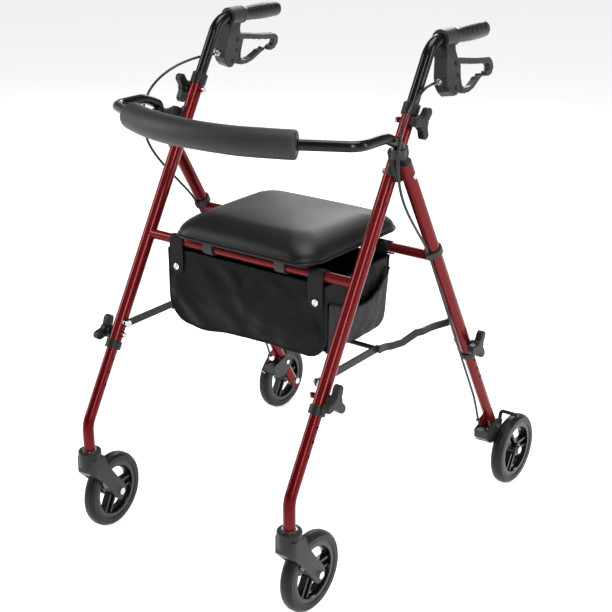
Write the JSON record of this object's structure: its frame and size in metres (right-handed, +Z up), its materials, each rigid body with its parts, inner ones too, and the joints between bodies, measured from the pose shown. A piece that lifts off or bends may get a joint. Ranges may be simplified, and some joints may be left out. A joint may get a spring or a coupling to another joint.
{
  "type": "rollator walker",
  "caption": "Folding rollator walker with swivel front wheels, braked rear wheels, height-adjustable legs and handles, flip-up seat, padded backrest and hanging bag.",
  "frame": {"origin": "on the floor under the middle of the walker's bounding box, with the frame open", "axes": "+Z up, -Y to the front, where the backrest is, +X to the walker's right-hand side"},
  "size_m": [0.663, 0.7886, 0.9825],
  "materials": {
    "red_paint": "gloss",
    "black_paint": "gloss",
    "steel": "satin",
    "dark_steel": "satin",
    "moulded_plastic": "matte",
    "rim_plastic": "gloss",
    "tyre": "matte",
    "grip_rubber": "matte",
    "foam": "matte",
    "vinyl": "satin",
    "nylon": "matte",
    "webbing": "matte",
    "board": "matte",
    "cable": "gloss"
  },
  "bodies": {
    "frame": {"front_tube_left": "red_paint", "front_tube_right": "red_paint", "front_crossbar": "red_paint", "hinge_brackets": "moulded_plastic", "frame_collars": "moulded_plastic", "frame_bolts": "steel", "basket_bag": "nylon", "bag_straps": "webbing", "bag_snaps": "steel", "brake_cable_left": "cable", "brake_cable_right": "cable"},
    "rear_frame": {"rear_tube_left": "red_paint", "rear_tube_right": "red_paint", "rear_crossbar": "red_paint", "rear_collars": "moulded_plastic", "rear_bolts": "steel"},
    "brace_front": {"brace_front_links": "dark_steel", "brace_cross_rod": "dark_steel"},
    "brace_rear": {"brace_rear_links": "dark_steel"},
    "seat": {"seat_pad": "vinyl", "seat_board": "board", "seat_clips": "moulded_plastic"},
    "backrest": {"backrest_bar": "black_paint", "backrest_pad": "foam"},
    "handle_left": {"handle_tube_left": "black_paint", "grip_left": "grip_rubber", "brake_housing_left": "moulded_plastic", "lever_fittings_left": "steel"},
    "lever_left": {"brake_lever_left": "moulded_plastic"},
    "handle_knob_left": {"handle_knob_left": "moulded_plastic"},
    "front_leg_knob_left": {"front_leg_knob_left": "moulded_plastic"},
    "rear_leg_knob_left": {"rear_leg_knob_left": "moulded_plastic"},
    "front_leg_left": {"front_leg_left": "red_paint"},
    "caster_left": {"caster_fork_left": "moulded_plastic", "caster_hardware_left": "steel"},
    "front_wheel_left": {"front_rim_left": "rim_plastic", "front_tyre_left": "tyre"},
    "rear_leg_left": {"rear_leg_left": "red_paint", "rear_hardware_left": "steel"},
    "rear_wheel_left": {"rear_rim_left": "rim_plastic", "rear_tyre_left": "tyre"},
    "brake_arm_left": {"brake_arm_left": "moulded_plastic"},
    "handle_right": {"handle_tube_right": "black_paint", "grip_right": "grip_rubber", "brake_housing_right": "moulded_plastic", "lever_fittings_right": "steel"},
    "lever_right": {"brake_lever_right": "moulded_plastic"},
    "handle_knob_right": {"handle_knob_right": "moulded_plastic"},
    "front_leg_knob_right": {"front_leg_knob_right": "moulded_plastic"},
    "rear_leg_knob_right": {"rear_leg_knob_right": "moulded_plastic"},
    "front_leg_right": {"front_leg_right": "red_paint"},
    "caster_right": {"caster_fork_right": "moulded_plastic", "caster_hardware_right": "steel"},
    "front_wheel_right": {"front_rim_right": "rim_plastic", "front_tyre_right": "tyre"},
    "rear_leg_right": {"rear_leg_right": "red_paint", "rear_hardware_right": "steel"},
    "rear_wheel_right": {"rear_rim_right": "rim_plastic", "rear_tyre_right": "tyre"},
    "brake_arm_right": {"brake_arm_right": "moulded_plastic"}
  },
  "joints": [
    {"name": "fold", "type": "hinge", "parent": "frame", "child": "rear_frame", "pos_m": [0, -0.077, 0.757], "axis": [-1, 0, 0], "range_deg": [0, 33], "deforming": ["basket_bag", "bag_straps", "brake_cable_left", "brake_cable_right"]},
    {"name": "brace_front_turn", "type": "hinge", "parent": "frame", "child": "brace_front", "pos_m": [0, -0.26983, 0.423], "axis": [1, 0, 0], "range_deg": [0, 50.91]},
    {"name": "brace_rear_turn", "type": "hinge", "parent": "rear_frame", "child": "brace_rear", "pos_m": [0, 0.11843, 0.4185], "axis": [-1, 0, 0], "range_deg": [0, 39.04]},
    {"name": "seat_flip", "type": "hinge", "parent": "frame", "child": "seat", "pos_m": [0, -0.17919, 0.58], "axis": [1, 0, 0], "range_deg": [0, 80]},
    {"name": "backrest_lift", "type": "slide", "parent": "frame", "child": "backrest", "axis": [0, 0, 1], "range_m": [0, 0.05]},
    {"name": "handle_slide_left", "type": "slide", "parent": "frame", "child": "handle_left", "axis": [0, 0.5, 0.866], "range_m": [0, 0.075], "deforming": ["brake_cable_left"]},
    {"name": "brake_lever_left", "type": "hinge", "parent": "handle_left", "child": "lever_left", "pos_m": [-0.25259, 0.0945, 0.91963], "axis": [0.9863, 0, -0.165], "range_deg": [0, 13], "stiffness_Nm_per_rad": 2, "springref_deg": -5.73},
    {"name": "handle_knob_left", "type": "hinge", "parent": "frame", "child": "handle_knob_left", "pos_m": [-0.245, -0.03024, 0.838], "axis": [-1, 0, 0], "continuous": true},
    {"name": "front_leg_knob_left", "type": "hinge", "parent": "frame", "child": "front_leg_knob_left", "pos_m": [-0.245, -0.28138, 0.403], "axis": [-1, 0, 0], "continuous": true},
    {"name": "rear_leg_knob_left", "type": "hinge", "parent": "rear_frame", "child": "rear_leg_knob_left", "pos_m": [-0.28, 0.14644, 0.37], "axis": [-1, 0, 0], "continuous": true},
    {"name": "front_leg_slide_left", "type": "slide", "parent": "frame", "child": "front_leg_left", "axis": [0, 0.5, 0.866], "range_m": [-0.025, 0.075]},
    {"name": "caster_swivel_left", "type": "hinge", "parent": "front_leg_left", "child": "caster_left", "pos_m": [-0.245, -0.37376, 0.15], "axis": [0, 0, 1], "continuous": true},
    {"name": "front_wheel_spin_left", "type": "hinge", "parent": "caster_left", "child": "front_wheel_left", "pos_m": [-0.251, -0.31667, 0.0762], "axis": [0.9945, 0.1045, 0], "continuous": true},
    {"name": "rear_leg_slide_left", "type": "slide", "parent": "rear_frame", "child": "rear_leg_left", "axis": [0, -0.5, 0.866], "range_m": [-0.025, 0.075], "deforming": ["brake_cable_left"]},
    {"name": "rear_wheel_spin_left", "type": "hinge", "parent": "rear_leg_left", "child": "rear_wheel_left", "pos_m": [-0.3125, 0.31606, 0.0762], "axis": [1, 0, 0], "continuous": true},
    {"name": "brake_arm_left", "type": "hinge", "parent": "rear_leg_left", "child": "brake_arm_left", "pos_m": [-0.28, 0.28038, 0.138], "axis": [-1, 0, 0], "range_deg": [0, 12], "stiffness_Nm_per_rad": 0.5, "springref_deg": -5.73},
    {"name": "handle_slide_right", "type": "slide", "parent": "frame", "child": "handle_right", "axis": [0, 0.5, 0.866], "range_m": [0, 0.075], "deforming": ["brake_cable_right"]},
    {"name": "brake_lever_right", "type": "hinge", "parent": "handle_right", "child": "lever_right", "pos_m": [0.25259, 0.0945, 0.91963], "axis": [0.9863, 0, 0.165], "range_deg": [0, 13], "stiffness_Nm_per_rad": 2, "springref_deg": -5.73},
    {"name": "handle_knob_right", "type": "hinge", "parent": "frame", "child": "handle_knob_right", "pos_m": [0.245, -0.03024, 0.838], "axis": [1, 0, 0], "continuous": true},
    {"name": "front_leg_knob_right", "type": "hinge", "parent": "frame", "child": "front_leg_knob_right", "pos_m": [0.245, -0.28138, 0.403], "axis": [1, 0, 0], "continuous": true},
    {"name": "rear_leg_knob_right", "type": "hinge", "parent": "rear_frame", "child": "rear_leg_knob_right", "pos_m": [0.28, 0.14644, 0.37], "axis": [1, 0, 0], "continuous": true},
    {"name": "front_leg_slide_right", "type": "slide", "parent": "frame", "child": "front_leg_right", "axis": [0, 0.5, 0.866], "range_m": [-0.025, 0.075]},
    {"name": "caster_swivel_right", "type": "hinge", "parent": "front_leg_right", "child": "caster_right", "pos_m": [0.245, -0.37376, 0.15], "axis": [0, 0, 1], "continuous": true},
    {"name": "front_wheel_spin_right", "type": "hinge", "parent": "caster_right", "child": "front_wheel_right", "pos_m": [0.245, -0.31636, 0.0762], "axis": [1, 0, 0], "continuous": true},
    {"name": "rear_leg_slide_right", "type": "slide", "parent": "rear_frame", "child": "rear_leg_right", "axis": [0, -0.5, 0.866], "range_m": [-0.025, 0.075], "deforming": ["brake_cable_right"]},
    {"name": "rear_wheel_spin_right", "type": "hinge", "parent": "rear_leg_right", "child": "rear_wheel_right", "pos_m": [0.3125, 0.31606, 0.0762], "axis": [1, 0, 0], "continuous": true},
    {"name": "brake_arm_right", "type": "hinge", "parent": "rear_leg_right", "child": "brake_arm_right", "pos_m": [0.28, 0.28038, 0.138], "axis": [-1, 0, 0], "range_deg": [0, 12], "stiffness_Nm_per_rad": 0.5, "springref_deg": -5.73}
  ],
  "couplings": [
    {"joint": "brace_front_turn", "follows": "fold", "ratio": 1.5422},
    {"joint": "brace_rear_turn", "follows": "fold", "ratio": 1.1827},
    {"joint": "brake_arm_left", "follows": "brake_lever_left", "ratio": 0.88},
    {"joint": "brake_arm_right", "follows": "brake_lever_right", "ratio": 0.88}
  ]
}
